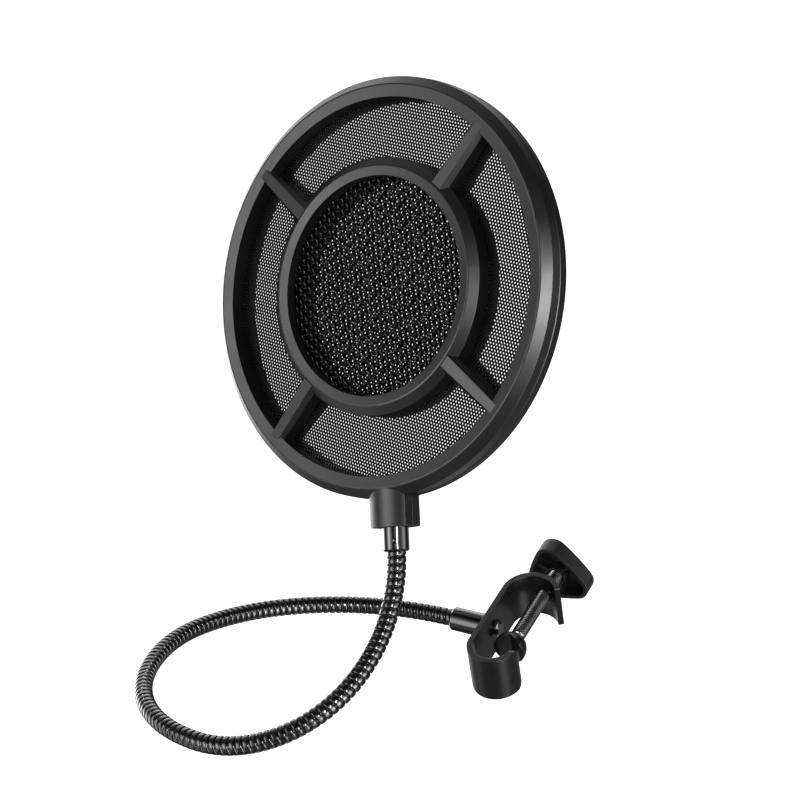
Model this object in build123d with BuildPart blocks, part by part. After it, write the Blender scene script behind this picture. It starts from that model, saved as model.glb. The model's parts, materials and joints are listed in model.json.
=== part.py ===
from build123d import *
import math
import os

os.makedirs("parts", exist_ok=True)

# Pop filter: a two-layer round screen on a gooseneck with a screw clamp.
# Millimetres, +Z up.  The origin is the centre of the clamp's hook, where the stand tube sits.
# The head stands upright and faces -Y.  "Depth" on the head is measured along +Y from its frontmost ridge.

# ---- head -------------------------------------------------------------------------------------
HEAD = Vector(27.67, -103.94, 137.84)   # centre of the head, at the ridge of its inner ring
RING_R = 77.5                           # outside radius, at the parting line
SHOULDER_R = 77.2                       # where the outer slope meets the side
SHOULDER_DEPTH = 4.3
RIDGE_R = 73.9                          # front ridge of the outer ring
RIDGE_DEPTH = 1.4
RIDGE_ROUND = 0.8
OPENING_R = 69.3                        # inside radius of the outer ring
LIP_DEPTH = 2.0                         # where its bevel meets the opening
PARTING = 8.4                           # depth of the plane where the two frames meet
PARTING_GAP = 0.05                      # each frame stops this far short of the parting plane
HUB_INNER_R = 40.3                      # inner ring
HUB_LIP_DEPTH = 0.5
HUB_RIDGE_R = 44.0
HUB_OUTER_R = 47.4
HUB_SHOULDER_DEPTH = 2.4
HUB_SKIN = 0.8                          # the hub's skin is thicker than its walls by this much
HUB_LEDGE = 2.6                         # wall behind the wire screen's seat
WALL = 2.0                              # moulded wall
GROOVE = 0.3                            # bevel along the parting line
SPOKE_ANGLES = (45, 135, 225, 315)
SPOKE_START_R = 44.6                    # the spokes slope back from the hub to the outer ring
SPOKE_START_FACE = (4.6, 0.2)           # width and depth of the flat face
SPOKE_START_SIDE = (8.2, 2.1)           # width and depth where the bevels meet the sides
SPOKE_END_R = 72.6
SPOKE_END_FACE = (3.7, 1.75)
SPOKE_END_SIDE = (6.0, 3.7)

# ---- screens ----------------------------------------------------------------------------------
FINE_R = 72.6
FINE_T = 0.4
WIRE_R = 41.2
WIRE_T = 0.8
WIRE_DEPTH = 4.3
SEAT_CLEAR = 0.02

# ---- boss under the ring ----------------------------------------------------------------------
BOSS_BOTTOM = -87.8                     # below the ring's centre
BOSS_TOP = -74.0
BOSS_W = 16.2
BOSS_SIDE_T = 4.3                       # of each frame, at the sides
BOSS_FRONT_T = 6.9                      # of each frame, at the middle of the bulge
BOSS_CORNER_R = 1.1
SPIGOT_R = 4.0
SPIGOT_L = 8.0
SPIGOT_END_GAP = 0.2

# ---- gooseneck --------------------------------------------------------------------------------
NECK_R = 3.5
FERRULE_R = 4.8
HEAD_FERRULE_L = 8.6
CLAMP_FERRULE_L = 17.5
SOCKET_DEPTH = 4.5                      # how far the neck goes into each ferrule
FERRULE_CHAMFER = 0.5
DIMPLE_R = 1.0
DIMPLE_DEPTH = 0.45
DIMPLE_FROM_MOUTH = 3.4
DIMPLE_TURN = 32.0                      # from the front towards +X on the upper ferrule
SOCKET_END_GAP = 0.5
SOCKET_SETBACK = 1.8                    # a segment's tube starts this far past its ball
BALL_CLEAR = 0.1                        # between a ball and its socket
# The neck's bends from the head to the clamp: length, bend, roll of the bend's plane, segments.
NECK_BENDS = (
    (55.427, 46.901, 36.143, 2),
    (61.246, 73.417, 50.216, 2),
    (68.093, 66.501, 28.715, 3),
    (36.401, 25.007, 24.484, 1),
    (116.150, 82.610, -19.169, 4),
)

# ---- clamp ------------------------------------------------------------------------------------
CLAMP_X = Vector(0.9394, 0.2176, -0.2651)    # from the back plate to the open side
CLAMP_Z = Vector(0.3429, -0.6021, 0.7210)    # across the strip, along the stand tube
STRIP_T = 2.3
STRIP_W = 20.6
HOOK_R = 8.0                            # inside the hook: a 16 mm stand tube
HOOK_SWEEP = 187                        # degrees of strip round the tube
HOOK_CORNER_R = 3.2
ARCH_R = 9.9                            # inside the arch at the screw end
ARCH_Y = 32.5                           # from the hook's centre to the arch's centre
ARCH_SWEEP = 150
ARCH_CORNER_R = 1.2
STUD_Y = 18.2
STUD_R = 3.6
STUD_OUT = 2.2                          # how far the stud stands out inside the clamp
STUD_IN = 9.0                           # how far it goes into the ferrule

# ---- screw, pad and knob ----------------------------------------------------------------------
SCREW_X = 2.24
SCREW_R = 3.0
RUNNING = 0.05                          # radial running clearance
PAD_Y = 8.3                             # rim of the pad
PAD_R = 6.7
PAD_H = 7.4
PAD_SKIRT = 1.2                         # straight side below the dome
PAD_NOTCH = 3.0
PAD_NOTCH_HALF_W = 4.5
PAD_CROWN_R = 2.9
TIP_R = 2.4
TIP_IN = 4.0
TIP_NECK_L = 1.6
SCREW_CHAMFER = 0.5
KNOB_Y = 54.0                           # rim of the knob's hollow side
KNOB_H = 8.0
KNOB_SIDE_R = 11.0                      # from the screw to the middle of each bulged side
KNOB_TIP_R = 15.1                       # from the screw to each corner
KNOB_CORNER_R = 6.0
KNOB_TURN = 20.0
KNOB_WALL = 1.6
KNOB_TOP = 2.0
KNOB_COLLAR_R = 4.4
KNOB_COLLAR_RECESS = 0.6
KNOB_MOUTH_R = 3.6                      # the collar is wider than the screw at its mouth
KNOB_MOUTH_L = 2.6
KNOB_RIB = 1.2
KNOB_RIB_RECESS = 2.2
KNOB_EDGE_R = 1.2

CUT = 1.0                               # cutting tools run past the surface by this much
UP = Vector(0, 0, 1)
BACK = Vector(0, 1, 0)
RIGHT = Vector(1, 0, 0)
CLAMP_X = CLAMP_X.normalized()
CLAMP_Y = CLAMP_Z.cross(CLAMP_X).normalized()
CLAMP_Z = CLAMP_X.cross(CLAMP_Y)


def head_point(x, depth, z):
    return HEAD + RIGHT * x + BACK * depth + UP * z


def section_plane():
    """Half section of the head: x is the radius and y is the depth."""
    return Plane(origin=HEAD, x_dir=RIGHT, z_dir=UP)


def head_axis():
    return Axis(HEAD, BACK)


def swing(start, axis, angle):
    """The point start, turned round an axis."""
    return (start - axis.position).rotate(Axis((0, 0, 0), axis.direction), angle) + axis.position


def stem_plane(z):
    """Level plane on the boss's axis: x to the right and y backwards."""
    return Plane(origin=head_point(0, PARTING, z), x_dir=RIGHT, z_dir=UP)


def clamp_plane():
    return Plane(origin=(0, 0, 0), x_dir=CLAMP_X, z_dir=CLAMP_Z)


def stud_plane(x):
    """Plane across the stud, x millimetres from the hook's centre towards the open side."""
    return Plane(origin=CLAMP_X * x + CLAMP_Y * STUD_Y, x_dir=CLAMP_Y, z_dir=CLAMP_X)


def screw_plane(y):
    """Plane across the screw: x from the back plate, y along the strip's width."""
    return Plane(origin=CLAMP_X * SCREW_X + CLAMP_Y * y, x_dir=CLAMP_X, z_dir=CLAMP_Y)


def corner_edges(strip):
    """The short edges across the strip's thickness."""
    return strip.edges().filter_by(lambda edge: abs(edge.length - STRIP_T) < RUNNING)


def polar(radius, angle):
    return Vector(radius, 0).rotate(Axis.Z, angle)


def knob_outline(inset):
    """Triangle with bulged sides and round corners: each side arc runs into the corner arcs."""
    corner = KNOB_TIP_R - KNOB_CORNER_R
    level = KNOB_SIDE_R - KNOB_CORNER_R
    centre = (corner**2 - level**2) / (2 * level - corner)
    side = KNOB_SIDE_R + centre
    with BuildLine() as outline:
        for k in range(3):
            middle = KNOB_TURN + 60 + 120 * k
            far = polar(centre, middle + 180)
            first = far + (polar(corner, middle - 60) - far).normalized() * (side - inset)
            last = far + (polar(corner, middle + 60) - far).normalized() * (side - inset)
            ThreePointArc(first, polar(KNOB_SIDE_R - inset, middle), last)
            after = polar(centre, middle - 60)
            start = after + (polar(corner, middle + 60) - after).normalized() * (side - inset)
            ThreePointArc(last, polar(KNOB_TIP_R - inset, middle + 60), start)
    return outline.line


# ---- the moulded half frame, built as the front one --------------------------------------------
RIM_BACK = PARTING - PARTING_GAP
SCREEN_FACE = PARTING - FINE_T / 2 - SEAT_CLEAR

with BuildPart() as half_frame:
    with BuildSketch(section_plane()) as rim_section:
        with BuildLine():
            Polyline(
                (OPENING_R, LIP_DEPTH),
                (RIDGE_R, RIDGE_DEPTH),
                (SHOULDER_R, SHOULDER_DEPTH),
                (RING_R, RIM_BACK - GROOVE),
                (RING_R - GROOVE, RIM_BACK),
                (RING_R - WALL, RIM_BACK),
                (SHOULDER_R - WALL, SHOULDER_DEPTH + WALL / 2),
                (RIDGE_R, RIDGE_DEPTH + WALL),
                (OPENING_R + WALL, LIP_DEPTH + WALL),
                (OPENING_R + WALL, SCREEN_FACE),
                (OPENING_R, SCREEN_FACE),
                close=True,
            )
        make_face()
        fillet(rim_section.vertices().group_by(Axis.Y)[0], RIDGE_ROUND)
    revolve(axis=head_axis())
    with BuildSketch(section_plane()) as hub_section:
        with BuildLine():
            Polyline(
                (HUB_INNER_R, HUB_LIP_DEPTH),
                (HUB_RIDGE_R, 0),
                (HUB_OUTER_R, HUB_SHOULDER_DEPTH),
                (HUB_OUTER_R, SCREEN_FACE),
                (HUB_OUTER_R - WALL, SCREEN_FACE),
                (HUB_OUTER_R - WALL, HUB_SHOULDER_DEPTH + HUB_SKIN),
                (HUB_INNER_R + HUB_LEDGE, HUB_SHOULDER_DEPTH),
                (HUB_INNER_R + HUB_LEDGE, SCREEN_FACE),
                (HUB_INNER_R, SCREEN_FACE),
                close=True,
            )
        make_face()
        fillet(hub_section.vertices().group_by(Axis.Y)[0], RIDGE_ROUND)
    revolve(axis=head_axis())
    for angle in SPOKE_ANGLES:
        outward = RIGHT.rotate(head_axis(), -angle)
        for radius, face, side in (
            (SPOKE_START_R, SPOKE_START_FACE, SPOKE_START_SIDE),
            (SPOKE_END_R, SPOKE_END_FACE, SPOKE_END_SIDE),
        ):
            with BuildSketch(Plane(origin=HEAD + outward * radius, x_dir=BACK.cross(outward), z_dir=outward)):
                with BuildLine():
                    Polyline(
                        (-face[0] / 2, face[1]),
                        (face[0] / 2, face[1]),
                        (side[0] / 2, side[1]),
                        (side[0] / 2, SCREEN_FACE),
                        (-side[0] / 2, SCREEN_FACE),
                        (-side[0] / 2, side[1]),
                        close=True,
                    )
                make_face()
        loft(ruled=True)
    # boss: a bulged front with rounded bottom corners, and half the bore for the ferrule's spigot
    with BuildPart(mode=Mode.PRIVATE) as boss:
        with BuildSketch(stem_plane(BOSS_BOTTOM)):
            with BuildLine():
                bulge = ThreePointArc((-BOSS_W / 2, -BOSS_SIDE_T), (0, -BOSS_FRONT_T), (BOSS_W / 2, -BOSS_SIDE_T))
                Polyline(bulge @ 1, (BOSS_W / 2, -PARTING_GAP), (-BOSS_W / 2, -PARTING_GAP), bulge @ 0)
            make_face()
        extrude(amount=BOSS_TOP - BOSS_BOTTOM)
        with BuildSketch(Plane(origin=head_point(0, 0, BOSS_BOTTOM), x_dir=RIGHT, z_dir=-BACK)) as boss_front:
            Rectangle(BOSS_W, BOSS_TOP - BOSS_BOTTOM, align=(Align.CENTER, Align.MIN))
            fillet(boss_front.vertices().group_by(Axis.Z)[0], BOSS_CORNER_R)
        extrude(amount=PARTING, both=True, mode=Mode.INTERSECT)
    add(boss.part)
    with BuildSketch(stem_plane(BOSS_BOTTOM)):
        Circle(SPIGOT_R + SEAT_CLEAR)
    extrude(amount=SPIGOT_L + SPIGOT_END_GAP, mode=Mode.SUBTRACT)

with BuildPart() as front_frame:
    add(half_frame.part)
    with BuildSketch(section_plane()):
        with Locations(((HUB_INNER_R + WIRE_R) / 2, (WIRE_DEPTH + SCREEN_FACE) / 2)):
            Rectangle(WIRE_R - HUB_INNER_R + 2 * SEAT_CLEAR, SCREEN_FACE - WIRE_DEPTH)
    revolve(axis=head_axis(), mode=Mode.SUBTRACT)

with BuildPart() as rear_frame:
    mirror(half_frame.part, about=Plane(origin=head_point(0, PARTING, 0), z_dir=BACK))

with BuildPart() as fine_screen:
    with BuildSketch(Plane(origin=head_point(0, PARTING - FINE_T / 2, 0), x_dir=RIGHT, z_dir=BACK)):
        Circle(FINE_R)
    extrude(amount=FINE_T)

with BuildPart() as wire_screen:
    with BuildSketch(Plane(origin=head_point(0, WIRE_DEPTH + SEAT_CLEAR, 0), x_dir=RIGHT, z_dir=BACK)):
        Circle(WIRE_R)
    extrude(amount=WIRE_T)

# ---- upper ferrule -----------------------------------------------------------------------------
FERRULE_MOUTH = BOSS_BOTTOM - HEAD_FERRULE_L

with BuildPart() as upper_ferrule:
    with BuildSketch(stem_plane(FERRULE_MOUTH)):
        Circle(FERRULE_R)
    extrude(amount=HEAD_FERRULE_L - SEAT_CLEAR)
    chamfer(upper_ferrule.edges().sort_by(Axis.Z)[0], FERRULE_CHAMFER)
    with BuildSketch(stem_plane(BOSS_BOTTOM - SEAT_CLEAR)):
        Circle(SPIGOT_R)
    extrude(amount=SPIGOT_L)
    with BuildSketch(stem_plane(FERRULE_MOUTH)):
        Circle(NECK_R + RUNNING)
    extrude(amount=SOCKET_DEPTH, mode=Mode.SUBTRACT)
    dimple_out = (-BACK).rotate(Axis((0, 0, 0), UP), DIMPLE_TURN)
    dimple_level = head_point(0, PARTING, FERRULE_MOUTH + DIMPLE_FROM_MOUTH)
    with Locations(dimple_level + dimple_out * (FERRULE_R + DIMPLE_R - DIMPLE_DEPTH)):
        Sphere(DIMPLE_R, mode=Mode.SUBTRACT)

# ---- gooseneck: tangent arcs, each cut into equal segments --------------------------------------
point = head_point(0, PARTING, FERRULE_MOUTH)
heading = -UP
inward = -BACK
count = sum(pieces for _, _, _, pieces in NECK_BENDS)
number = 0
for length, bend, roll, pieces in NECK_BENDS:
    inward = inward.rotate(Axis((0, 0, 0), heading), roll)
    radius = length / math.radians(bend)
    binormal = heading.cross(inward)
    for _ in range(pieces):
        number += 1
        pivot = Axis(point + inward * radius, binormal)
        step = bend / pieces
        setback = step * SOCKET_SETBACK / (length / pieces)
        first = number == 1
        last = number == count
        lead = 0 if first else setback
        start = swing(point, pivot, lead)
        end = swing(point, pivot, step)
        with BuildPart() as neck_segment:
            with BuildSketch(Plane(origin=start, z_dir=heading.rotate(Axis((0, 0, 0), binormal), lead))):
                Circle(NECK_R)
            revolve(axis=pivot, revolution_arc=step - lead)
            if not first:
                with Locations(Plane(origin=point, z_dir=heading)):
                    Sphere(NECK_R + BALL_CLEAR, mode=Mode.SUBTRACT)
            if first:
                with BuildSketch(Plane(origin=point, z_dir=-heading)):
                    Circle(NECK_R)
                extrude(amount=SOCKET_DEPTH - SEAT_CLEAR)
        point = end
        heading = heading.rotate(Axis((0, 0, 0), binormal), step)
        inward = inward.rotate(Axis((0, 0, 0), binormal), step)
        with neck_segment:
            if last:
                with BuildSketch(Plane(origin=point, z_dir=heading)):
                    Circle(NECK_R)
                extrude(amount=SOCKET_DEPTH - SEAT_CLEAR)
            else:
                with BuildSketch(Plane(origin=point, x_dir=heading, z_dir=binormal)):
                    with BuildLine():
                        CenterArc((0, 0), NECK_R, 0, 90)
                        Polyline((0, NECK_R), (0, 0), (NECK_R, 0))
                    make_face()
                revolve(axis=Axis(point, heading))
        name = f"neck_segment_{number:02d}"
        neck_segment.part.label = name
        export_step(neck_segment.part, f"parts/{name}.step")

# ---- lower ferrule and the stud that holds it to the clamp --------------------------------------
PLATE_OUT_X = -(HOOK_R + STRIP_T)       # outer face of the back plate
MOUTH_X = PLATE_OUT_X - CLAMP_FERRULE_L

with BuildPart() as lower_ferrule:
    with BuildSketch(stud_plane(MOUTH_X)):
        Circle(FERRULE_R)
    extrude(amount=CLAMP_FERRULE_L - SEAT_CLEAR)
    chamfer(lower_ferrule.edges().sort_by(Axis(CLAMP_Y * STUD_Y, CLAMP_X))[0], 2 * FERRULE_CHAMFER)
    with BuildSketch(stud_plane(MOUTH_X)):
        Circle(NECK_R + RUNNING)
    extrude(amount=SOCKET_DEPTH + SOCKET_END_GAP, mode=Mode.SUBTRACT)
    with BuildSketch(stud_plane(PLATE_OUT_X - STUD_IN)):
        Circle(STUD_R + SEAT_CLEAR)
    extrude(amount=STUD_IN, mode=Mode.SUBTRACT)
    dimple_level = CLAMP_X * (MOUTH_X + DIMPLE_FROM_MOUTH) + CLAMP_Y * STUD_Y
    with Locations(dimple_level + CLAMP_Z * (FERRULE_R + DIMPLE_R - DIMPLE_DEPTH)):
        Sphere(DIMPLE_R, mode=Mode.SUBTRACT)

with BuildPart() as mount_stud:
    with BuildSketch(stud_plane(PLATE_OUT_X - STUD_IN + SEAT_CLEAR)):
        Circle(STUD_R)
    extrude(amount=STUD_IN + STRIP_T + STUD_OUT)
    chamfer(mount_stud.edges().sort_by(Axis((0, 0, 0), CLAMP_X))[-1], FERRULE_CHAMFER)

# ---- clamp bracket: one bent strip ---------------------------------------------------------------
HOOK_OUT_R = HOOK_R + STRIP_T
ARCH_OUT_R = ARCH_R + STRIP_T
ARCH_X = ARCH_OUT_R - HOOK_OUT_R

with BuildPart() as clamp_bracket:
    with BuildSketch(clamp_plane()):
        with BuildLine():
            hook_in = CenterArc((0, 0), HOOK_R, 180, HOOK_SWEEP)
            hook_out = CenterArc((0, 0), HOOK_OUT_R, 180, HOOK_SWEEP)
            arch_in = CenterArc((ARCH_X, ARCH_Y), ARCH_R, 180, -ARCH_SWEEP)
            arch_out = CenterArc((ARCH_X, ARCH_Y), ARCH_OUT_R, 180, -ARCH_SWEEP)
            Line(hook_in @ 0, arch_in @ 0)
            Line(hook_out @ 0, arch_out @ 0)
            Line(hook_in @ 1, hook_out @ 1)
            Line(arch_in @ 1, arch_out @ 1)
        make_face()
    extrude(amount=STRIP_W / 2, both=True)
    fillet(corner_edges(clamp_bracket).sort_by(Axis((0, 0, 0), CLAMP_Y))[:2], HOOK_CORNER_R)
    fillet(corner_edges(clamp_bracket).sort_by(Axis((0, 0, 0), CLAMP_Y))[-2:], ARCH_CORNER_R)
    with BuildSketch(stud_plane(PLATE_OUT_X - CUT)):
        Circle(STUD_R + SEAT_CLEAR)
    extrude(amount=STRIP_T + 2 * CUT, mode=Mode.SUBTRACT)
    with BuildSketch(screw_plane(ARCH_Y + ARCH_R - CUT)):
        Circle(SCREW_R + RUNNING)
    extrude(amount=STRIP_T + 2 * CUT, mode=Mode.SUBTRACT)

# ---- swivel pad: a domed cap with a notch for the tube ------------------------------------------
PAD_TOP_Y = PAD_Y + PAD_H
TIP_Y = PAD_TOP_Y - TIP_IN

with BuildPart() as swivel_pad:
    with BuildSketch(clamp_plane()):
        with BuildLine():
            rim = Line((SCREW_X, PAD_Y), (SCREW_X + PAD_R, PAD_Y))
            side = Line(rim @ 1, (SCREW_X + PAD_R, PAD_Y + PAD_SKIRT))
            dome = TangentArc(side @ 1, (SCREW_X + PAD_CROWN_R, PAD_TOP_Y), tangent=(0, 1))
            crown = Line(dome @ 1, (SCREW_X, PAD_TOP_Y))
            Line(crown @ 1, rim @ 0)
        make_face()
    revolve(axis=Axis(CLAMP_X * SCREW_X, CLAMP_Y))
    with BuildSketch(clamp_plane()):
        with BuildLine():
            Polyline(
                (SCREW_X - PAD_NOTCH_HALF_W, PAD_Y),
                (SCREW_X, PAD_Y + PAD_NOTCH),
                (SCREW_X + PAD_NOTCH_HALF_W, PAD_Y),
                (SCREW_X, PAD_Y - PAD_NOTCH),
                close=True,
            )
        make_face()
    extrude(amount=PAD_R + CUT, both=True, mode=Mode.SUBTRACT)
    with BuildSketch(screw_plane(TIP_Y - RUNNING)):
        Circle(TIP_R + RUNNING)
    extrude(amount=TIP_IN + CUT, mode=Mode.SUBTRACT)

# ---- clamp screw ---------------------------------------------------------------------------------
SCREW_TOP_Y = KNOB_Y + KNOB_H - KNOB_TOP
THREAD_Y = PAD_TOP_Y + TIP_NECK_L

with BuildPart() as clamp_screw:
    with BuildSketch(screw_plane(THREAD_Y)):
        Circle(SCREW_R)
    extrude(amount=SCREW_TOP_Y - THREAD_Y)
    chamfer(clamp_screw.edges().sort_by(Axis((0, 0, 0), CLAMP_Y))[0], SCREW_CHAMFER)
    with BuildSketch(screw_plane(TIP_Y)):
        Circle(TIP_R)
    extrude(amount=THREAD_Y - TIP_Y)

# ---- knob: a hollow rounded triangle with ribs and a collar ---------------------------------------
KNOB_HOLLOW = KNOB_H - KNOB_TOP

with BuildPart() as knob:
    with BuildSketch(screw_plane(KNOB_Y)):
        make_face(knob_outline(0).edges())
    extrude(amount=KNOB_H)
    fillet(knob.edges().group_by(Axis((0, 0, 0), CLAMP_Y))[-1], KNOB_EDGE_R)
    with BuildSketch(screw_plane(KNOB_Y)):
        make_face(knob_outline(KNOB_WALL).edges())
    extrude(amount=KNOB_HOLLOW, mode=Mode.SUBTRACT)
    with BuildSketch(screw_plane(KNOB_Y + KNOB_COLLAR_RECESS)):
        Circle(KNOB_COLLAR_R)
    extrude(amount=KNOB_HOLLOW - KNOB_COLLAR_RECESS)
    with BuildSketch(screw_plane(KNOB_Y + KNOB_RIB_RECESS)):
        for rib in range(3):
            turn = KNOB_TURN + 120 * rib + 60
            reach = KNOB_SIDE_R - KNOB_WALL / 2
            with Locations(Location((0, 0, 0), (0, 0, turn))):
                with Locations((reach / 2, 0)):
                    Rectangle(reach, KNOB_RIB)
    extrude(amount=KNOB_HOLLOW - KNOB_RIB_RECESS)
    with BuildSketch(screw_plane(KNOB_Y)):
        Circle(KNOB_MOUTH_R)
    extrude(amount=KNOB_COLLAR_RECESS + KNOB_MOUTH_L, mode=Mode.SUBTRACT)
    with BuildSketch(screw_plane(KNOB_Y)):
        Circle(SCREW_R + SEAT_CLEAR)
    extrude(amount=KNOB_HOLLOW, mode=Mode.SUBTRACT)

for part_builder, name in (
    (front_frame, "front_frame"),
    (rear_frame, "rear_frame"),
    (fine_screen, "fine_screen"),
    (wire_screen, "wire_screen"),
    (upper_ferrule, "upper_ferrule"),
    (lower_ferrule, "lower_ferrule"),
    (mount_stud, "mount_stud"),
    (clamp_bracket, "clamp_bracket"),
    (swivel_pad, "swivel_pad"),
    (clamp_screw, "clamp_screw"),
    (knob, "knob"),
):
    part_builder.part.label = name
    export_step(part_builder.part, f"parts/{name}.step")
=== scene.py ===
import json
import math

import bmesh
import bpy
from mathutils import Matrix, Vector


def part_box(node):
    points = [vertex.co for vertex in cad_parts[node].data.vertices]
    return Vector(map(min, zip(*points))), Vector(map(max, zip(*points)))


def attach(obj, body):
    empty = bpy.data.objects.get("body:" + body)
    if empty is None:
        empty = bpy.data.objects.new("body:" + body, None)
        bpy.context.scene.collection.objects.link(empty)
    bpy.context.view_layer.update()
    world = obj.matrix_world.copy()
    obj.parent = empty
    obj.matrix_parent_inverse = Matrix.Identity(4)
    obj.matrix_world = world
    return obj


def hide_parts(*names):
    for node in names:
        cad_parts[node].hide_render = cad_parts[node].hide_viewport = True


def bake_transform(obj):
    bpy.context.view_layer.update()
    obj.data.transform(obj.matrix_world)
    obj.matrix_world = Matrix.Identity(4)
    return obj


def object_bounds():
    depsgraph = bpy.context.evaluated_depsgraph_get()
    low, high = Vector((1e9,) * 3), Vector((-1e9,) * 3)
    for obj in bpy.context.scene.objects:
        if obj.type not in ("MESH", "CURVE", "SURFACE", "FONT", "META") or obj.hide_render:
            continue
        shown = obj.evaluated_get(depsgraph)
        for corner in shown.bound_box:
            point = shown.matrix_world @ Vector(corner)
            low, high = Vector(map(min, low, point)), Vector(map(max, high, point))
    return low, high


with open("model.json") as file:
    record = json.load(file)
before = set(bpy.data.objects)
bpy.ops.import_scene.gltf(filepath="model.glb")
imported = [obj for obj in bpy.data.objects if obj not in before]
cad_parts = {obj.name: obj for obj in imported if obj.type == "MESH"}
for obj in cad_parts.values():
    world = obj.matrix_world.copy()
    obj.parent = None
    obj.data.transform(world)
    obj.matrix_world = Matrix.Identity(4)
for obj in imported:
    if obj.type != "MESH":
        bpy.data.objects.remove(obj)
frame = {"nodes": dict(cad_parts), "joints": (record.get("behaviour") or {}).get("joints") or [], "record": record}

# Looks of the pop filter: two woven and etched screens, a gooseneck of interlocked strip, threads,
# materials, light and camera.  Metres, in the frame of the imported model.

CAD_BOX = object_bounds()
MM = 0.001
WELD = 1e-7                             # points closer than this are one point


# ---- places read from the frame ------------------------------------------------------------------
def joint_line(name):
    """A point on a joint's axis, and the axis's direction."""
    joint = next(j for j in frame["joints"] if j["name"] == name)
    return Vector(joint["pos_m"]), Vector(joint["axis"]).normalized()


def middle(node):
    low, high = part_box(node)
    return (low + high) / 2


FINE_LOW, FINE_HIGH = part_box("fine_screen")
WIRE_LOW, WIRE_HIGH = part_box("wire_screen")
HEAD_CENTRE = middle("fine_screen")          # on the plane where the two frames meet
WIRE_CENTRE = middle("wire_screen")
FINE_R = (FINE_HIGH.x - FINE_LOW.x) / 2
WIRE_R = (WIRE_HIGH.x - WIRE_LOW.x) / 2
CLAMP_Z = -Vector(frame["record"]["mounts"][0]["axis"]).normalized()
SCREW_POINT, CLAMP_Y = joint_line("knob_turn")
CLAMP_X = CLAMP_Y.cross(CLAMP_Z)


# ---- mesh helpers --------------------------------------------------------------------------------
def new_piece(name, verts, faces, material, sharp_angle=40):
    """A mesh piece with smooth shading up to sharp_angle degrees."""
    mesh = bpy.data.meshes.new(name)
    mesh.from_pydata([tuple(v) for v in verts], [], faces)
    build = bmesh.new()
    build.from_mesh(mesh)
    bmesh.ops.remove_doubles(build, verts=build.verts, dist=WELD)
    bmesh.ops.dissolve_degenerate(build, dist=WELD, edges=build.edges)
    bmesh.ops.recalc_face_normals(build, faces=build.faces)
    build.to_mesh(mesh)
    build.free()
    mesh.shade_smooth()
    mesh.set_sharp_from_angle(angle=math.radians(sharp_angle))
    mesh.materials.append(material)
    piece = bpy.data.objects.new(name, mesh)
    bpy.context.scene.collection.objects.link(piece)
    return piece


def skin(rings):
    """Vertices and faces of a closed tube over rings of equal length, with a face on each end."""
    verts = [point for ring in rings for point in ring]
    size = len(rings[0])
    faces = []
    for i in range(len(rings) - 1):
        for j in range(size):
            k = (j + 1) % size
            faces.append((i * size + j, i * size + k, (i + 1) * size + k, (i + 1) * size + j))
    faces.append(tuple(range(size))[::-1])
    faces.append(tuple(range(len(verts) - size, len(verts))))
    return verts, faces


def helix_skin(place, start, end, pitch, profile, sides):
    """A tube whose surface winds in a helix.

    place(s, angle) gives the axis point and the outward direction.  profile is the shape of one
    turn, as (share of the pitch, radius) points.  The tube is cut square at start and end.
    """
    def radius_at(share):
        share %= 1.0
        points = profile + [(profile[0][0] + 1, profile[0][1])]
        if share < points[0][0]:
            share += 1.0
        for (a, ra), (b, rb) in zip(points, points[1:]):
            if a <= share <= b:
                return ra + (rb - ra) * (share - a) / (b - a)
        return profile[0][1]

    rings = []
    first_turn = math.floor(start / pitch) - 2
    last_turn = math.ceil(end / pitch) + 1
    for turn in range(first_turn, last_turn + 1):
        for share, _ in profile:
            ring = []
            for j in range(sides):
                along = (turn + share + j / sides) * pitch
                s = min(max(along, start), end)
                radius = radius_at(s / pitch - j / sides)
                centre, outward = place(s, 2 * math.pi * j / sides)
                ring.append(centre + outward * radius)
            rings.append(ring)
    verts = [point for ring in rings for point in ring]
    faces = []
    for i in range(len(rings) - 1):
        row, above = i * sides, (i + 1) * sides
        for j in range(sides - 1):
            faces.append((row + j, row + j + 1, above + j + 1, above + j))
        # the last column joins the first one a pitch further on
        a = i + len(profile)
        if a + 1 < len(rings):
            faces.append((a * sides, (a + 1) * sides, above + sides - 1, row + sides - 1))
    return close_ends(verts, faces)


def close_ends(verts, faces):
    """Drops what is squeezed flat and fills the two open ends of a helix tube."""
    build = bmesh.new()
    made = [build.verts.new(v) for v in verts]
    for face in faces:
        build.faces.new([made[i] for i in face])
    bmesh.ops.remove_doubles(build, verts=build.verts, dist=WELD)
    bmesh.ops.dissolve_degenerate(build, dist=WELD, edges=build.edges)
    loose = [v for v in build.verts if not v.link_faces]
    bmesh.ops.delete(build, geom=loose, context="VERTS")
    border = [e for e in build.edges if e.is_boundary]
    bmesh.ops.holes_fill(build, edges=border, sides=0)
    build.verts.index_update()
    verts = [v.co.copy() for v in build.verts]
    faces = [tuple(v.index for v in f.verts) for f in build.faces]
    build.free()
    return verts, faces


# ---- materials -----------------------------------------------------------------------------------
NOISE_LOW, NOISE_HIGH = 0.3, 0.7        # most of a noise lies between these
EDGE_SAMPLES = 6
CLOUD_SCALE = 45.0
SCUFF_SCALE = 160.0
GRAIN_HEIGHT = 0.04 * MM
PEEL_HEIGHT = 0.05 * MM
COAT_ROUGHNESS = 0.12


def nodes_of(name):
    material = bpy.data.materials.new(name)
    material.use_nodes = True
    tree = material.node_tree
    shader = tree.nodes["Principled BSDF"]
    where = tree.nodes.new("ShaderNodeTexCoord")
    return material, tree, shader, where


def noise(tree, where, scale, detail=2.0, roughness=0.5):
    node = tree.nodes.new("ShaderNodeTexNoise")
    node.inputs["Scale"].default_value = scale
    node.inputs["Detail"].default_value = detail
    node.inputs["Roughness"].default_value = roughness
    tree.links.new(where.outputs["Object"], node.inputs["Vector"])
    return node


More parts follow.
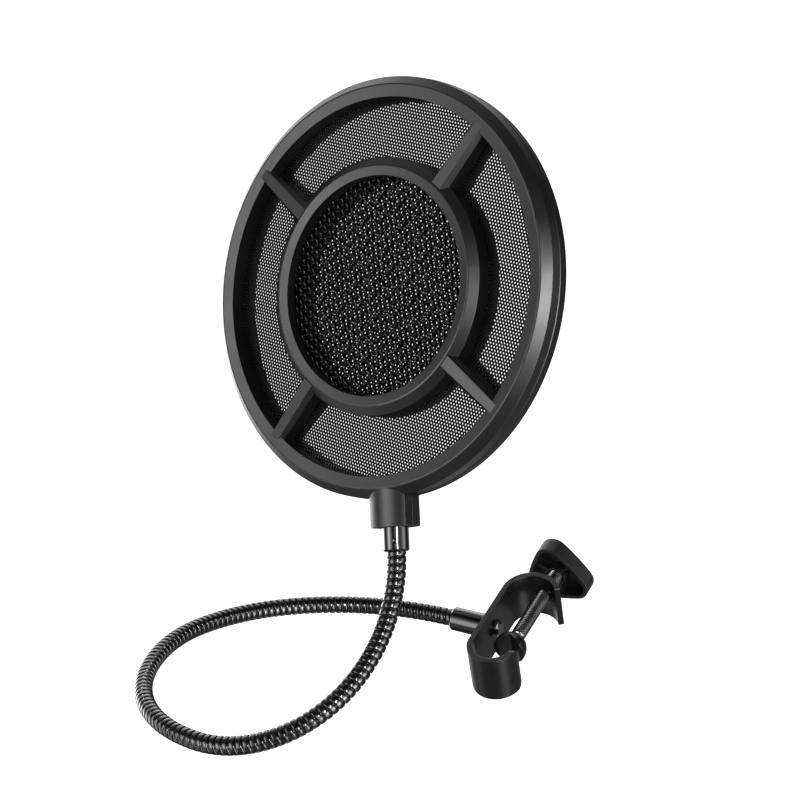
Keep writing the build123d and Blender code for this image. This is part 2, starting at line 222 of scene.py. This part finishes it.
def spread(tree, source, low, high, from_low=NOISE_LOW, from_high=NOISE_HIGH):
    """Maps a value between from_low and from_high to low-high."""
    node = tree.nodes.new("ShaderNodeMapRange")
    node.inputs["From Min"].default_value = from_low
    node.inputs["From Max"].default_value = from_high
    node.inputs["To Min"].default_value = low
    node.inputs["To Max"].default_value = high
    tree.links.new(source, node.inputs["Value"])
    return node.outputs["Result"]


def two_tone(tree, source, dark, light):
    node = tree.nodes.new("ShaderNodeValToRGB")
    node.color_ramp.elements[0].position = NOISE_LOW
    node.color_ramp.elements[0].color = (*dark, 1)
    node.color_ramp.elements[1].position = NOISE_HIGH
    node.color_ramp.elements[1].color = (*light, 1)
    tree.links.new(source, node.inputs["Fac"])
    return node.outputs["Color"]


def bump(tree, source, strength, distance, chain=None):
    node = tree.nodes.new("ShaderNodeBump")
    node.inputs["Strength"].default_value = strength
    node.inputs["Distance"].default_value = distance
    tree.links.new(source, node.inputs["Height"])
    if chain is not None:
        tree.links.new(chain, node.inputs["Normal"])
    return node.outputs["Normal"]


def rounded(tree, radius):
    """Shading normals that round the edges by a radius."""
    node = tree.nodes.new("ShaderNodeBevel")
    node.samples = EDGE_SAMPLES
    node.inputs["Radius"].default_value = radius
    return node.outputs["Normal"]


def plastic(name, dark, light, rough_low, rough_high, grain=2600.0, grain_strength=0.35, edge=0.3 * MM):
    """Moulded satin plastic: a fine spark-eroded grain, faint cloudiness and slight wear."""
    material, tree, shader, where = nodes_of(name)
    fine = noise(tree, where, grain, 3.0, 0.6)
    cloud = noise(tree, where, CLOUD_SCALE, 3.0)
    tree.links.new(two_tone(tree, cloud.outputs["Fac"], dark, light), shader.inputs["Base Color"])
    tree.links.new(spread(tree, cloud.outputs["Fac"], rough_low, rough_high), shader.inputs["Roughness"])
    edges = rounded(tree, edge)
    surface = bump(tree, fine.outputs["Fac"], grain_strength, GRAIN_HEIGHT, edges)
    tree.links.new(surface, shader.inputs["Normal"])
    shader.inputs["Specular IOR Level"].default_value = 0.5
    return material


def painted(name, dark, light, rough_low, rough_high, metallic=0.0, coat=0.0, peel=700.0, peel_strength=0.12,
            edge=None, specular=0.5):
    """Black lacquer or plating over metal: orange peel, faint scuffs."""
    material, tree, shader, where = nodes_of(name)
    skin_noise = noise(tree, where, peel, 2.0)
    scuff = noise(tree, where, SCUFF_SCALE, 5.0, 0.65)
    tree.links.new(two_tone(tree, scuff.outputs["Fac"], dark, light), shader.inputs["Base Color"])
    tree.links.new(spread(tree, scuff.outputs["Fac"], rough_low, rough_high), shader.inputs["Roughness"])
    edges = rounded(tree, edge) if edge else None
    surface = bump(tree, skin_noise.outputs["Fac"], peel_strength, PEEL_HEIGHT, edges)
    tree.links.new(surface, shader.inputs["Normal"])
    shader.inputs["Metallic"].default_value = metallic
    shader.inputs["Specular IOR Level"].default_value = specular
    shader.inputs["Coat Weight"].default_value = coat
    shader.inputs["Coat Roughness"].default_value = COAT_ROUGHNESS
    return material


FRAME_PLASTIC = plastic("satin_frame_plastic", (0.0035, 0.0035, 0.004), (0.006, 0.006, 0.0065), 0.32, 0.40)
PAD_PLASTIC = plastic("pad_plastic", (0.003, 0.003, 0.0035), (0.005, 0.005, 0.0055), 0.30, 0.38)
KNOB_PLASTIC = plastic("knob_plastic", (0.004, 0.004, 0.0045), (0.007, 0.007, 0.0075), 0.36, 0.46)
FINE_METAL = painted("fine_screen_black", (0.001, 0.001, 0.001), (0.002, 0.002, 0.002), 0.4, 0.5,
                     specular=0.12)
WIRE_METAL = painted("wire_screen_black", (0.001, 0.001, 0.001), (0.002, 0.002, 0.002), 0.10, 0.16,
                     specular=0.3)
NECK_METAL = painted("neck_black", (0.003, 0.003, 0.003), (0.005, 0.005, 0.005), 0.16, 0.22, coat=0.3,
                     peel_strength=0.05)
FERRULE_METAL = painted("ferrule_black", (0.003, 0.003, 0.003), (0.005, 0.005, 0.005), 0.12, 0.17, coat=0.5,
                        peel_strength=0.05)
BRACKET_METAL = painted("bracket_black", (0.003, 0.003, 0.003), (0.005, 0.005, 0.005), 0.26, 0.31,
                        peel_strength=0.05, edge=0.45 * MM)
THREAD_METAL = painted("thread_black", (0.15, 0.15, 0.152), (0.22, 0.22, 0.222), 0.22, 0.28, metallic=1.0,
                       peel_strength=0.0)
BRIGHT_METAL = painted("bare_steel", (0.8, 0.8, 0.79), (0.95, 0.95, 0.94), 0.2, 0.3, metallic=1.0)

CAD_LOOKS = {
    "front_frame": FRAME_PLASTIC,
    "rear_frame": FRAME_PLASTIC,
    "upper_ferrule": FERRULE_METAL,
    "lower_ferrule": FERRULE_METAL,
    "clamp_bracket": BRACKET_METAL,
    "swivel_pad": PAD_PLASTIC,
    "knob": KNOB_PLASTIC,
}
for node, material in CAD_LOOKS.items():
    slots = frame["nodes"][node].data.materials
    slots.clear()
    slots.append(material)


# ---- fine screen: thin sheet etched with rows of hexagonal-packed holes ----------------------------
FINE_PITCH = 1.30 * MM
FINE_HOLE_R = 0.43 * MM                 # to a hole's corners
FINE_ROW_ANGLE = -21.0                  # of a row of holes, from +X
FINE_HALF_T = (FINE_HIGH.y - FINE_LOW.y) / 2
HUB_COVER_R = 44.0 * MM                 # the two parts of the screen meet behind the hub


HOLE_SIDES = 6
NEIGHBOURS = ((1, 0), (0, 1), (-1, 1))  # half of a hole's neighbours; the others reach back to it


def neighbour(key, k):
    return key[0] + NEIGHBOURS[k][0], key[1] + NEIGHBOURS[k][1]


def etched_sheet(name, inner, outer):
    """A ring or disc of sheet that is a lattice of holes between two radii.  Its borders stay open:
    the frames cover them."""
    row = Vector((math.cos(math.radians(FINE_ROW_ANGLE)), math.sin(math.radians(FINE_ROW_ANGLE))))
    step = Vector((math.cos(math.radians(FINE_ROW_ANGLE + 60)), math.sin(math.radians(FINE_ROW_ANGLE + 60))))
    reach = math.ceil(outer / (FINE_PITCH * math.cos(math.radians(30))))
    holes = {}
    for i in range(-reach, reach + 1):
        for j in range(-reach, reach + 1):
            centre = (row * i + step * j) * FINE_PITCH
            if inner <= centre.length <= outer:
                holes[i, j] = centre
    turns = [math.radians(FINE_ROW_ANGLE + 30 + 60 * k) for k in range(HOLE_SIDES)]
    corners = [Vector((math.cos(a), math.sin(a))) * FINE_HOLE_R for a in turns]
    build = bmesh.new()
    layers = []
    for side in (-1, 1):
        y = HEAD_CENTRE.y + side * FINE_HALF_T
        points = {}
        for key, centre in holes.items():
            for k, corner in enumerate(corners):
                p = centre + corner
                points[key, k] = build.verts.new((HEAD_CENTRE.x + p.x, y, HEAD_CENTRE.z + p.y))
        layers.append(points)
    for points in layers:
        for key in holes:
            for k in range(len(NEIGHBOURS)):
                other = neighbour(key, k)
                if other in holes:
                    build.faces.new((points[key, (k - 1) % HOLE_SIDES], points[key, k],
                                     points[other, k + 2], points[other, k + 3]))
            for k in range(len(NEIGHBOURS) - 1):
                first, second = neighbour(key, k), neighbour(key, k + 1)
                if first in holes and second in holes:
                    build.faces.new((points[key, k], points[first, k + 2], points[second, k + 4]))
    for key in holes:
        for k in range(HOLE_SIDES):
            m = (k + 1) % HOLE_SIDES
            build.faces.new((layers[0][key, k], layers[0][key, m], layers[1][key, m], layers[1][key, k]))
    bmesh.ops.recalc_face_normals(build, faces=build.faces)
    mesh = bpy.data.meshes.new(name)
    build.to_mesh(mesh)
    build.free()
    mesh.materials.append(FINE_METAL)
    piece = bpy.data.objects.new(name, mesh)
    bpy.context.scene.collection.objects.link(piece)
    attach(piece, "head")
    return piece


fine_outer = etched_sheet("fine_screen_ring", HUB_COVER_R, FINE_R - FINE_PITCH)
etched_sheet("fine_screen_middle", 0.0, HUB_COVER_R - 0.8 * FINE_PITCH)
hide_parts("fine_screen")


# ---- wire screen: plain weave ----------------------------------------------------------------------
WIRE_PITCH = 2.2 * MM
WIRE_RADIUS = 0.45 * MM
WEAVE_RISE = 0.40 * MM
WIRE_SIDES = 8
WIRE_STEPS = 4                          # steps from one crossing to the next
WEAVE_SET_BACK = 0.5 * MM
WEAVE_Y = WIRE_CENTRE.y + WEAVE_SET_BACK
SHORTEST_WIRE = 4 * WIRE_PITCH


def woven_screen(name):
    verts, faces = [], []
    reach = int(WIRE_R / WIRE_PITCH)
    for across in (0, 1):
        for line in range(-reach, reach + 1):
            offset = line * WIRE_PITCH
            half = math.sqrt(max(WIRE_R ** 2 - offset ** 2, 0)) - WIRE_RADIUS
            if 2 * half < SHORTEST_WIRE:
                continue
            steps = int(2 * half / (WIRE_PITCH / WIRE_STEPS))
            rings = []
            for n in range(steps + 1):
                along = -half + 2 * half * n / steps
                phase = math.pi * (along / WIRE_PITCH + line)
                sign = 1 if across else -1
                lift = sign * WEAVE_RISE * math.cos(phase)
                slope = -sign * WEAVE_RISE * math.pi / WIRE_PITCH * math.sin(phase)
                if across:
                    centre = Vector((offset, lift, along))
                    tangent = Vector((0, slope, 1)).normalized()
                    side = Vector((1, 0, 0))
                else:
                    centre = Vector((along, lift, offset))
                    tangent = Vector((1, slope, 0)).normalized()
                    side = Vector((0, 0, 1))
                up = tangent.cross(side)
                ring = []
                for k in range(WIRE_SIDES):
                    a = 2 * math.pi * k / WIRE_SIDES
                    p = centre + (side * math.cos(a) + up * math.sin(a)) * WIRE_RADIUS
                    ring.append(Vector((WIRE_CENTRE.x + p.x, WEAVE_Y + p.y, WIRE_CENTRE.z + p.z)))
                rings.append(ring)
            v, f = skin(rings)
            base = len(verts)
            verts += v
            faces += [tuple(i + base for i in face) for face in f]
    return new_piece(name, verts, faces, WIRE_METAL, 60)


wire = woven_screen("wire_screen_woven")
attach(wire, "head")
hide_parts("wire_screen")


# ---- gooseneck -------------------------------------------------------------------------------------
# Bends from the head to the clamp: length in mm, bend and roll of the bend's plane in degrees, segments.
NECK_BENDS = (
    (55.427, 46.901, 36.143, 2),
    (61.246, 73.417, 50.216, 2),
    (68.093, 66.501, 28.715, 3),
    (36.401, 25.007, 24.484, 1),
    (116.150, 82.610, -19.169, 4),
)
NECK_SOCKET = 4.4 * MM
NECK_PITCH = 2.7 * MM
BEAD_R = 3.5 * MM
BEAD_EDGE_R = 3.30 * MM
BEAD_SHARE = 0.84                       # of the pitch
GROOVE_R = 2.98 * MM
RIDGE_R = 3.16 * MM
NECK_SIDES = 36
BEAD_STEPS = 6
BEAD_FLATNESS = 2.6                     # 2 is a round bead; more is flatter on top
GROOVE = (                              # share of the gap between two beads, and radius
    (0.12, GROOVE_R),
    (0.34, GROOVE_R),
    (0.46, RIDGE_R),
    (0.62, RIDGE_R),
    (0.74, GROOVE_R),
    (0.92, GROOVE_R),
)


def neck_profile():
    """One turn of the neck: a flattened bead, then a groove with a small ridge in it."""
    points = []
    for i in range(BEAD_STEPS + 1):
        x = abs(2 * i / BEAD_STEPS - 1)
        rise = math.sqrt(1 - x ** BEAD_FLATNESS)
        points.append((BEAD_SHARE * i / BEAD_STEPS, BEAD_EDGE_R + (BEAD_R - BEAD_EDGE_R) * rise))
    gap = 1 - BEAD_SHARE
    for share, radius in GROOVE:
        points.append((BEAD_SHARE + gap * share, radius))
    return points


class NeckRoute:
    """The neck's centre line: tangent arcs from the upper ferrule's mouth to the lower one's."""

    def __init__(self):
        ferrule_low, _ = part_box("upper_ferrule")
        point = Vector((HEAD_CENTRE.x, HEAD_CENTRE.y, ferrule_low.z))
        heading = Vector((0, 0, -1))
        inward = Vector((0, -1, 0))
        self.arcs = []
        self.middles = []
        length = 0.0
        total_roll = 0.0
        for run, bend, roll, pieces in NECK_BENDS:
            total_roll += math.radians(roll)
            inward = Matrix.Rotation(math.radians(roll), 3, heading) @ inward
            angle = math.radians(bend)
            radius = run * MM / angle
            arc = (length, run * MM, point.copy(), heading.copy(), inward.copy(), radius, total_roll)
            self.arcs.append(arc)
            for k in range(pieces):
                self.middles.append(length + run * MM * (k + 0.5) / pieces)
            point = point + inward * radius * (1 - math.cos(angle)) + heading * radius * math.sin(angle)
            binormal = heading.cross(inward)
            turn = Matrix.Rotation(angle, 3, binormal)
            heading, inward = turn @ heading, turn @ inward
            length += run * MM
        self.length = length

    def at(self, s):
        """Point, heading, inward direction and accumulated roll at a length along the route."""
        arc = self.arcs[0]
        for candidate in self.arcs:
            if s >= candidate[0]:
                arc = candidate
        start, run, point, heading, inward, radius, roll = arc
        local = s - start
        if local < 0:
            return point + heading * local, heading, inward, roll
        angle = min(local, run) / radius
        place = point + inward * radius * (1 - math.cos(angle)) + heading * radius * math.sin(angle)
        ahead = heading * math.cos(angle) + inward * math.sin(angle)
        towards = inward * math.cos(angle) - heading * math.sin(angle)
        return place + ahead * max(local - run, 0.0), ahead, towards, roll

    def place(self, s, angle):
        centre, heading, inward, roll = self.at(s)
        binormal = heading.cross(inward)
        turn = angle - roll
        return centre, inward * math.cos(turn) + binormal * math.sin(turn)


def make_neck():
    """The neck as thirteen pieces cut at the middles of the segments.  All but the two ends reach
    across one joint and are attached to no body."""
    route = NeckRoute()
    profile = neck_profile()
    segments = len(route.middles)
    bodies = ["head"] + [f"neck_{n:02d}" for n in range(2, segments)] + ["clamp"]
    cuts = [-NECK_SOCKET] + route.middles + [route.length + NECK_SOCKET]
    for n in range(segments + 1):
        verts, faces = helix_skin(route.place, cuts[n], cuts[n + 1], NECK_PITCH, profile, NECK_SIDES)
        piece = new_piece(f"gooseneck_{n:02d}", verts, faces, NECK_METAL, 80)
        if n == 0:
            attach(piece, bodies[0])
            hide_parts("neck_segment_01")
        elif n == segments:
            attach(piece, bodies[-1])
            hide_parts(f"neck_segment_{n:02d}")
        else:
            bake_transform(piece)
            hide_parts(f"neck_segment_{n:02d}", f"neck_segment_{n + 1:02d}")


make_neck()


# ---- threads ---------------------------------------------------------------------------------------
CREST_END = 0.14                        # shares of the pitch
ROOT_START = 0.5
ROOT_END = 0.64


def thread_profile(radius, depth):
    root = radius - depth
    return [(0.0, radius), (CREST_END, radius), (ROOT_START, root), (ROOT_END, root)]


def rod_place(point, axis, side):
    across = axis.cross(side)

    def place(s, angle):
        return point + axis * s, side * math.cos(angle) + across * math.sin(angle)

    return place


SCREW_R = 3.0 * MM
SCREW_PITCH = 1.0 * MM
SCREW_THREAD_DEPTH = 0.55 * MM
SCREW_SIDES = 40
TIP_R = 2.4 * MM
TIP_BEVEL = 0.4 * MM
TIP_COLLAR = 1.6 * MM
STUD_R = 3.6 * MM
STUD_PITCH = 0.8 * MM
STUD_THREAD_DEPTH = 0.45 * MM
STUD_SIDES = 44
STUD_CAP_L = 1.6 * MM
STUD_CAP_START_R = 3.1 * MM
STUD_CAP_R = 3.15 * MM
STUD_CAP_END_R = 2.7 * MM
STUD_BEVEL = 0.5 * MM


def extent_along(node, point, axis):
    """How far a CAD node reaches along an axis, from a point on it."""
    reach = [(v.co - point) @ axis for v in frame["nodes"][node].data.vertices]
    return min(reach), max(reach)


def turned_rod(name, place, profile, sides, material):
    """A turned piece: (length, radius) points along an axis."""
    rings = []
    for s, radius in profile:
        ring = []
        for j in range(sides):
            centre, outward = place(s, 2 * math.pi * j / sides)
            ring.append(centre + outward * radius)
        rings.append(ring)
    return new_piece(name, *skin(rings), material, 35)


def make_screw():
    place = rod_place(SCREW_POINT, CLAMP_Y, CLAMP_X)
    low, high = extent_along("clamp_screw", SCREW_POINT, CLAMP_Y)
    _, pad_high = extent_along("swivel_pad", SCREW_POINT, CLAMP_Y)
    thread_start = pad_high + TIP_COLLAR
    turn = thread_profile(SCREW_R, SCREW_THREAD_DEPTH)
    verts, faces = helix_skin(place, thread_start, high, SCREW_PITCH, turn, SCREW_SIDES)
    screw = new_piece("screw_thread", verts, faces, THREAD_METAL, 30)
    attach(screw, "screw")
    tip = turned_rod("screw_tip", place, [
        (low, TIP_R - TIP_BEVEL),
        (low + TIP_BEVEL, TIP_R),
        (thread_start + SCREW_PITCH, TIP_R),
    ], SCREW_SIDES, BRIGHT_METAL)
    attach(tip, "screw")
    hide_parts("clamp_screw")


def make_stud():
    centre = middle("mount_stud")
    place = rod_place(centre, CLAMP_X, CLAMP_Y)
    low, high = extent_along("mount_stud", centre, CLAMP_X)
    turn = thread_profile(STUD_R, STUD_THREAD_DEPTH)
    verts, faces = helix_skin(place, low, high - STUD_BEVEL, STUD_PITCH, turn, STUD_SIDES)
    stud = new_piece("stud_thread", verts, faces, THREAD_METAL, 30)
    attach(stud, "clamp")
    cap = turned_rod("stud_end", place, [
        (high - STUD_CAP_L, STUD_CAP_START_R),
        (high - STUD_BEVEL, STUD_CAP_R),
        (high, STUD_CAP_END_R),
    ], STUD_SIDES, THREAD_METAL)
    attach(cap, "clamp")
    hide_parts("mount_stud")


make_screw()
make_stud()


# ---- floor, light and camera -------------------------------------------------------------------------
FLOOR_DROP = 140 * MM                   # below the object's lowest point
FLOOR_R = 0.8
FLOOR_FADE = (0.35, 0.97)               # from here to here, in shares of the radius
FLOOR_ROUGHNESS = 0.8


def make_floor():
    """A pale disc that fades out at its edge.  Light from below passes it; only the eye sees it."""
    low, high = CAD_BOX
    centre = (low + high) / 2
    build = bmesh.new()
    bmesh.ops.create_circle(build, cap_ends=True, segments=128, radius=FLOOR_R)
    mesh = bpy.data.meshes.new("floor")
    build.to_mesh(mesh)
    build.free()
    floor = bpy.data.objects.new("floor", mesh)
    floor.location = (centre.x, centre.y, low.z - FLOOR_DROP)
    material, tree, shader, where = nodes_of("pale_floor")
    cloud = noise(tree, where, 3.0)
    tree.links.new(two_tone(tree, cloud.outputs["Fac"], (0.84, 0.84, 0.84), (0.87, 0.87, 0.87)),
                   shader.inputs["Base Color"])
    shader.inputs["Roughness"].default_value = FLOOR_ROUGHNESS
    distance = tree.nodes.new("ShaderNodeVectorMath")
    distance.operation = "LENGTH"
    tree.links.new(where.outputs["Object"], distance.inputs[0])
    start, end = FLOOR_FADE
    fade = spread(tree, distance.outputs["Value"], 1.0, 0.0, start * FLOOR_R, end * FLOOR_R)
    path = tree.nodes.new("ShaderNodeLightPath")
    seen = tree.nodes.new("ShaderNodeMath")
    seen.operation = "MULTIPLY"
    tree.links.new(fade, seen.inputs[0])
    tree.links.new(path.outputs["Is Camera Ray"], seen.inputs[1])
    tree.links.new(seen.outputs[0], shader.inputs["Alpha"])
    mesh.materials.append(material)
    bpy.context.scene.collection.objects.link(floor)


# Soft lights round the object: degrees from the front towards +X, degrees up, and strength.  The
# rows come from a least-squares solve for the light; the strengths 14.0, 3.5 and 5.5 were set one by one.
GLOW_SHARPNESS = 24.0
GLOWS = (
    (87.7, -26.2, 14.0),
    (-91.3, 4.9, 3.5),
    (-20.6, -14.6, 5.52),
    (45.9, -9.8, 4.98),
    (99.0, -51.8, 4.2),
    (-111.3, 14.1, 4.13),
    (110.4, 3.3, 3.7),
    (160.6, 72.4, 2.41),
    (-141.6, 47.2, 2.18),
    (-104.3, 54.6, 2.1),
    (-67.5, -29.5, 1.95),
    (-25.4, 8.2, 5.5),
    (-155.2, -49.9, 1.55),
    (-24.5, 66.9, 0.98),
    (-166.3, 57.9, 0.78),
    (-176.3, 0.6, 0.63),
    (-35.4, -58.0, 0.61),
    (18.8, -70.2, 0.52),
    (-6.6, -2.6, 0.42),
    (163.3, -30.9, 0.31),
)
STRIP_AIM = (51.2, -7.5)                # from the head: degrees from the front, degrees up
STRIP_DISTANCE = 1.3
STRIP_WIDTH = 0.05
STRIP_HEIGHT = 0.5
STRIP_POWER = 12.0


def direction_of(turn, rise):
    """The direction that is turn degrees from the front towards +X and rise degrees up."""
    turn, rise = math.radians(turn), math.radians(rise)
    return Vector((math.sin(turn) * math.cos(rise), -math.cos(turn) * math.cos(rise), math.sin(rise)))


def glow(tree, direction, strength):
    """A round soft light far away, as a value over the world's directions."""
    where = tree.nodes.new("ShaderNodeTexCoord")
    facing = tree.nodes.new("ShaderNodeVectorMath")
    facing.operation = "DOT_PRODUCT"
    facing.inputs[1].default_value = direction
    tree.links.new(where.outputs["Generated"], facing.inputs[0])
    falloff = tree.nodes.new("ShaderNodeMath")
    falloff.operation = "MULTIPLY_ADD"
    falloff.inputs[1].default_value = GLOW_SHARPNESS
    falloff.inputs[2].default_value = -GLOW_SHARPNESS + math.log(strength)
    tree.links.new(facing.outputs["Value"], falloff.inputs[0])
    light = tree.nodes.new("ShaderNodeMath")
    light.operation = "EXPONENT"
    tree.links.new(falloff.outputs[0], light.inputs[0])
    return light.outputs[0]


def make_strip():
    """A tall narrow light on the talker's side; it draws the bright band on the rim."""
    data = bpy.data.lights.new("strip", "AREA")
    data.shape = "RECTANGLE"
    data.size = STRIP_WIDTH
    data.size_y = STRIP_HEIGHT
    data.energy = STRIP_POWER
    light = bpy.data.objects.new("strip", data)
    direction = direction_of(*STRIP_AIM)
    light.location = HEAD_CENTRE + direction * STRIP_DISTANCE
    light.rotation_mode = "QUATERNION"
    light.rotation_quaternion = direction.to_track_quat("Z", "Y")
    light.visible_camera = False
    bpy.context.scene.collection.objects.link(light)


def make_light():
    """White to the eye; the object itself is lit by soft lights round a dark studio."""
    world = bpy.data.worlds.new("studio")
    world.use_nodes = True
    tree = world.node_tree
    background = tree.nodes["Background"]
    background.inputs["Color"].default_value = (1, 1, 1, 1)
    total = None
    for turn, rise, strength in GLOWS:
        light = glow(tree, direction_of(turn, rise), strength)
        if total is not None:
            add = tree.nodes.new("ShaderNodeMath")
            add.operation = "ADD"
            tree.links.new(total, add.inputs[0])
            tree.links.new(light, add.inputs[1])
            light = add.outputs[0]
        total = light
    tree.links.new(total, background.inputs["Strength"])
    sight = tree.nodes.new("ShaderNodeBackground")
    sight.inputs["Color"].default_value = (1, 1, 1, 1)
    mix = tree.nodes.new("ShaderNodeMixShader")
    path = tree.nodes.new("ShaderNodeLightPath")
    tree.links.new(path.outputs["Is Camera Ray"], mix.inputs[0])
    tree.links.new(background.outputs[0], mix.inputs[1])
    tree.links.new(sight.outputs[0], mix.inputs[2])
    tree.links.new(mix.outputs[0], tree.nodes["World Output"].inputs["Surface"])
    bpy.context.scene.world = world


CAMERA_PLACE = Vector((519.08, -719.24, -0.37)) * MM
CAMERA_AIM = Vector((0.03, -54.00, 102.30)) * MM
CAMERA_ROLL = -2.618                    # degrees
CAMERA_LENS = 99.0
CAMERA_SENSOR = 36.0
EXPOSURE = 0.35
GAMMA = 0.78


def make_camera():
    back = (CAMERA_PLACE - CAMERA_AIM).normalized()
    right = Vector((0, 0, 1)).cross(back).normalized()
    upright = Matrix((right, back.cross(right), back)).transposed()
    data = bpy.data.cameras.new("camera")
    data.sensor_width = CAMERA_SENSOR
    data.lens = CAMERA_LENS
    camera = bpy.data.objects.new("camera", data)
    rolled = upright @ Matrix.Rotation(math.radians(CAMERA_ROLL), 3, "Z")
    camera.matrix_world = Matrix.Translation(CAMERA_PLACE) @ rolled.to_4x4()
    bpy.context.scene.collection.objects.link(camera)
    bpy.context.scene.camera = camera


make_floor()
make_light()
make_strip()
make_camera()
bpy.context.scene.view_settings.view_transform = "Standard"
bpy.context.scene.view_settings.exposure = EXPOSURE
bpy.context.scene.view_settings.gamma = GAMMA
